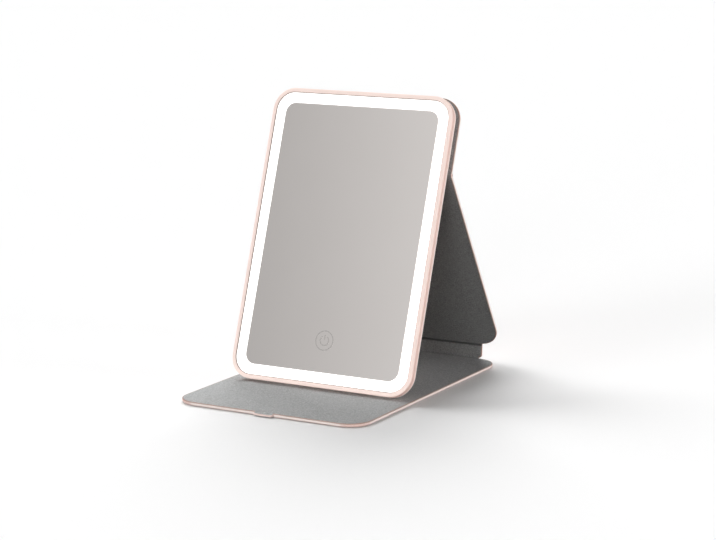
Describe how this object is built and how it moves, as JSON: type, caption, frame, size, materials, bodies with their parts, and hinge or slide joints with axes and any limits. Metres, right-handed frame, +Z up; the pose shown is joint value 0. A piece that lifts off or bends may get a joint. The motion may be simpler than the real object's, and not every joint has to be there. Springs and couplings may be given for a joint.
{
  "type": "tabletop makeup mirror",
  "caption": "Flat lit makeup mirror in a folio cover whose folds stand it up like an easel, with a lit band round the pane and a touch key low on the glass.",
  "frame": {"origin": "on the table, under the middle of the bounding box", "axes": "+X to the right as seen by a person in front of the mirror, +Y to the back, +Z up"},
  "size_m": [0.1736, 0.258, 0.2425],
  "materials": {
    "cover_skin": "matt grained",
    "cover_lining": "matt fine-grained",
    "cover_board": "raw",
    "housing": "satin",
    "mirror": "polished",
    "diffuser": "opal",
    "print": "printed film",
    "foam_tape": "foam",
    "copper": "bright",
    "tray": "white",
    "lamp_strip": "flexible film",
    "lamp": "phosphor",
    "circuit": "lacquered",
    "chip": "moulded",
    "ferrite": "sintered",
    "connector": "moulded",
    "steel": "plated",
    "battery": "foil pouch",
    "wire": "insulated",
    "magnet": "nickel plated"
  },
  "bodies": {
    "base": {"base_skin": "cover_skin", "base_board": "cover_board", "base_lining": "cover_lining", "pull_tab": "cover_skin", "base_magnets": "magnet"},
    "spine": {"spine_skin": "cover_skin", "spine_board": "cover_board", "spine_lining": "cover_lining", "base_fold": "cover_skin", "leg_fold": "cover_skin"},
    "leg": {"leg_skin": "cover_skin", "leg_board": "cover_board", "leg_lining": "cover_lining", "top_fold": "cover_skin"},
    "mirror": {"upper_skin": "cover_skin", "upper_board": "cover_board", "upper_lining": "cover_lining", "adhesive_sheet": "foam_tape", "front_frame": "housing", "rear_cover": "housing", "mirror_glass": "mirror", "light_diffuser": "diffuser", "touch_mark": "print", "mirror_tape": "foam_tape", "touch_sensor": "copper", "reflector_tray": "tray", "led_strip": "lamp_strip", "led_chips": "lamp", "control_board": "circuit", "control_chips": "chip", "inductor": "ferrite", "wire_connectors": "connector", "board_screws": "steel", "battery_cell": "battery", "battery_tape": "foam_tape", "battery_leads": "wire", "led_leads": "wire", "charge_leads": "wire", "usb_socket": "steel", "usb_tongue": "chip", "housing_screws": "steel", "foot_magnets": "magnet"}
  },
  "joints": [
    {"name": "base_fold_turn", "type": "hinge", "parent": "base", "child": "spine", "pos_m": [0, 0.12707, 0.0027], "axis": [1, 0, 0], "range_deg": [-77, 14]},
    {"name": "leg_fold_turn", "type": "hinge", "parent": "spine", "child": "leg", "pos_m": [0, 0.1277, 0.01563], "axis": [1, 0, 0], "range_deg": [-10, 56]},
    {"name": "top_fold_turn", "type": "hinge", "parent": "leg", "child": "mirror", "pos_m": [0, 0.03074, 0.17893], "axis": [1, 0, 0], "range_deg": [-9, 50]}
  ],
  "couplings": [
    {"joint": "leg_fold_turn", "follows": "top_fold_turn", "ratio": 1.1108},
    {"joint": "base_fold_turn", "follows": "top_fold_turn", "ratio": -1.528}
  ]
}
